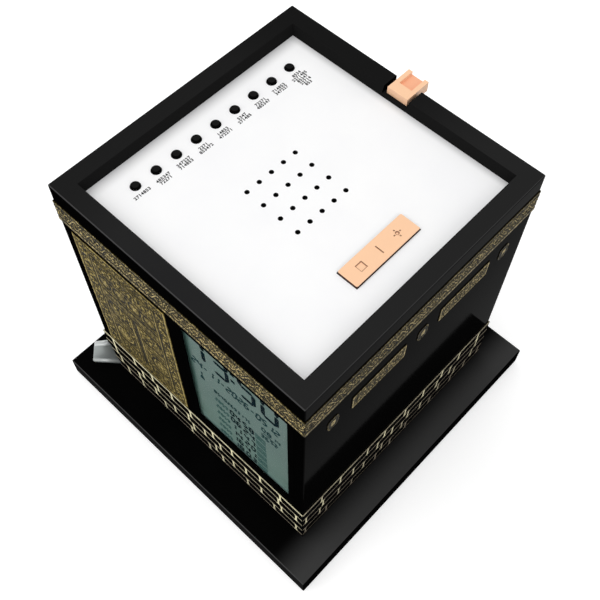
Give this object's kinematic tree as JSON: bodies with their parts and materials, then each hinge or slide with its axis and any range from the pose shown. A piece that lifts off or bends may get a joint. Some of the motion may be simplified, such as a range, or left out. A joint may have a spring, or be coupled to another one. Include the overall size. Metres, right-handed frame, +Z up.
{
  "type": "azan clock",
  "caption": "Cube shaped black table clock on a square plinth, with gold relief, a front display, roof buttons, a speaker grille and a wide stop and light key.",
  "frame": {"origin": "middle of the underside, on the surface that the feet rest on", "axes": "+Z up; the display faces -Y; +X is the right side seen from the front"},
  "size_m": [0.1494, 0.1494, 0.1455],
  "materials": {
    "black_gloss": "glossy moulded black",
    "black_matt": "fine matt black",
    "white_panel": "smooth matt white",
    "rose_gold": "satin peach gold plating",
    "gold_relief": "antique gold plated relief",
    "silver_casing": "satin silver plating",
    "dark_stone": "polished dark stone",
    "clear_pane": "clear acrylic pane",
    "display_cell": "grey green liquid crystal cell",
    "light_guide": "milky diffuser",
    "board_green": "solder resist",
    "component_black": "moulded package",
    "plated_steel": "zinc plated",
    "spring_steel": "nickel plated",
    "rubber_pad": "matt rubber",
    "contact_rubber": "conductive rubber strip",
    "paper_cone": "pressed paper cone",
    "foam_ring": "felt ring",
    "copper_coil": "enamelled copper winding",
    "ferrite": "sintered ferrite",
    "cell_sleeve": null,
    "aluminium_can": "plain can"
  },
  "bodies": {
    "clock": {"back_cartouches": "gold_relief", "bar_board": "board_green", "bar_board_screws": "plated_steel", "bar_switches": "component_black", "base_screws": "plated_steel", "batteries": "cell_sleeve", "battery_plates": "spring_steel", "battery_springs": "spring_steel", "belt_band": "gold_relief", "black_stone": "dark_stone", "board_capacitors": "aluminium_can", "body_shell": "black_gloss", "bottom_cover": "black_matt", "brick_skirt": "gold_relief", "corner_casing": "silver_casing", "door_curtain": "gold_relief", "feet": "rubber_pad", "key_board": "board_green", "key_board_screws": "plated_steel", "key_switches": "component_black", "lcd_backlight": "light_guide", "lcd_bezel": "black_gloss", "lcd_connector_strips": "contact_rubber", "lcd_glass": "display_cell", "lcd_window": "clear_pane", "left_cartouches": "gold_relief", "main_board": "board_green", "main_board_screws": "plated_steel", "panel_screws": "plated_steel", "plinth": "black_gloss", "processor_chip": "component_black", "quartz_crystal": "aluminium_can", "right_cartouches": "gold_relief", "setting_board": "board_green", "setting_board_screws": "plated_steel", "setting_switches": "component_black", "sound_chip": "component_black", "speaker_coil": "copper_coil", "speaker_cone": "paper_cone", "speaker_frame": "plated_steel", "speaker_gasket": "foam_ring", "speaker_magnet": "ferrite", "speaker_screws": "plated_steel", "spout": "rose_gold", "top_panel": "white_panel"},
    "battery_door": {"battery_door": "black_matt"},
    "button_1": {"button_1": "black_matt"},
    "button_2": {"button_2": "black_matt"},
    "button_3": {"button_3": "black_matt"},
    "button_4": {"button_4": "black_matt"},
    "button_5": {"button_5": "black_matt"},
    "button_6": {"button_6": "black_matt"},
    "button_7": {"button_7": "black_matt"},
    "button_8": {"button_8": "black_matt"},
    "button_9": {"button_9": "black_matt"},
    "setting_key_1": {"setting_key_1": "black_matt"},
    "setting_key_2": {"setting_key_2": "black_matt"},
    "setting_key_3": {"setting_key_3": "black_matt"},
    "setting_key_4": {"setting_key_4": "black_matt"},
    "wide_key": {"wide_key": "rose_gold"}
  },
  "joints": [
    {"name": "battery_door_swing", "type": "hinge", "parent": "clock", "child": "battery_door", "pos_m": [0, -0.0272, 0.0018], "axis": [-1, 0, 0], "range_deg": [0, 80]},
    {"name": "button_1_press", "type": "slide", "parent": "clock", "child": "button_1", "axis": [0, 0, -1], "range_m": [0, 0.0006], "stiffness_N_per_m": 500, "springref_m": -0.001},
    {"name": "button_2_press", "type": "slide", "parent": "clock", "child": "button_2", "axis": [0, 0, -1], "range_m": [0, 0.0006], "stiffness_N_per_m": 500, "springref_m": -0.001},
    {"name": "button_3_press", "type": "slide", "parent": "clock", "child": "button_3", "axis": [0, 0, -1], "range_m": [0, 0.0006], "stiffness_N_per_m": 500, "springref_m": -0.001},
    {"name": "button_4_press", "type": "slide", "parent": "clock", "child": "button_4", "axis": [0, 0, -1], "range_m": [0, 0.0006], "stiffness_N_per_m": 500, "springref_m": -0.001},
    {"name": "button_5_press", "type": "slide", "parent": "clock", "child": "button_5", "axis": [0, 0, -1], "range_m": [0, 0.0006], "stiffness_N_per_m": 500, "springref_m": -0.001},
    {"name": "button_6_press", "type": "slide", "parent": "clock", "child": "button_6", "axis": [0, 0, -1], "range_m": [0, 0.0006], "stiffness_N_per_m": 500, "springref_m": -0.001},
    {"name": "button_7_press", "type": "slide", "parent": "clock", "child": "button_7", "axis": [0, 0, -1], "range_m": [0, 0.0006], "stiffness_N_per_m": 500, "springref_m": -0.001},
    {"name": "button_8_press", "type": "slide", "parent": "clock", "child": "button_8", "axis": [0, 0, -1], "range_m": [0, 0.0006], "stiffness_N_per_m": 500, "springref_m": -0.001},
    {"name": "button_9_press", "type": "slide", "parent": "clock", "child": "button_9", "axis": [0, 0, -1], "range_m": [0, 0.0006], "stiffness_N_per_m": 500, "springref_m": -0.001},
    {"name": "setting_key_1_press", "type": "slide", "parent": "clock", "child": "setting_key_1", "axis": [0, -1, 0], "range_m": [0, 0.0006], "stiffness_N_per_m": 500, "springref_m": -0.001},
    {"name": "setting_key_2_press", "type": "slide", "parent": "clock", "child": "setting_key_2", "axis": [0, -1, 0], "range_m": [0, 0.0006], "stiffness_N_per_m": 500, "springref_m": -0.001},
    {"name": "setting_key_3_press", "type": "slide", "parent": "clock", "child": "setting_key_3", "axis": [0, -1, 0], "range_m": [0, 0.0006], "stiffness_N_per_m": 500, "springref_m": -0.001},
    {"name": "setting_key_4_press", "type": "slide", "parent": "clock", "child": "setting_key_4", "axis": [0, -1, 0], "range_m": [0, 0.0006], "stiffness_N_per_m": 500, "springref_m": -0.001},
    {"name": "wide_key_press", "type": "slide", "parent": "clock", "child": "wide_key", "axis": [0, 0, -1], "range_m": [0, 0.0008], "stiffness_N_per_m": 700, "springref_m": -0.001}
  ]
}
